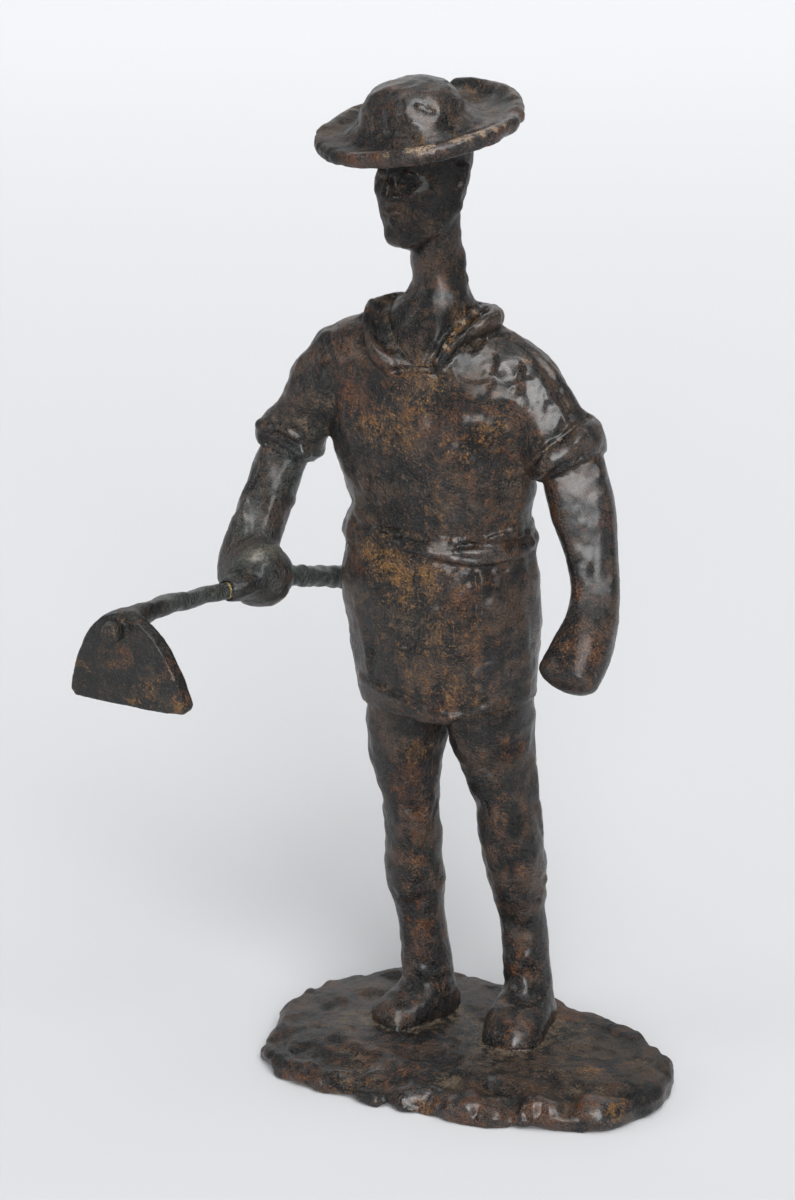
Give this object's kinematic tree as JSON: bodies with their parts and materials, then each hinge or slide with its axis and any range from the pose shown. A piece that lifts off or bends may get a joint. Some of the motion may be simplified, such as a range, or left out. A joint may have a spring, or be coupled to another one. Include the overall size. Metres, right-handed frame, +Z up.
{
  "type": "farmer statue",
  "caption": "Small cast statue of a standing farmer in a brimmed hat and belted smock, holding a hoe, on an uneven plot of ground.",
  "frame": {"origin": "middle of the flat underside of the ground", "axes": "+Z up, the farmer's chest faces -Y, his right hand with the hoe is at -X"},
  "size_m": [0.1638, 0.1255, 0.3],
  "materials": {
    "bronze": "cast bronze with a dark brown waxed patina, rubbed reddish brown and ochre on the high places and dusty in the hollows",
    "handle_bronze": "cast bronze with a dark grey-green patina, rubbed bright at the joint beside the fist"
  },
  "bodies": {
    "root": {"farmer_and_ground": "bronze", "hoe": "handle_bronze"}
  },
  "joints": []
}
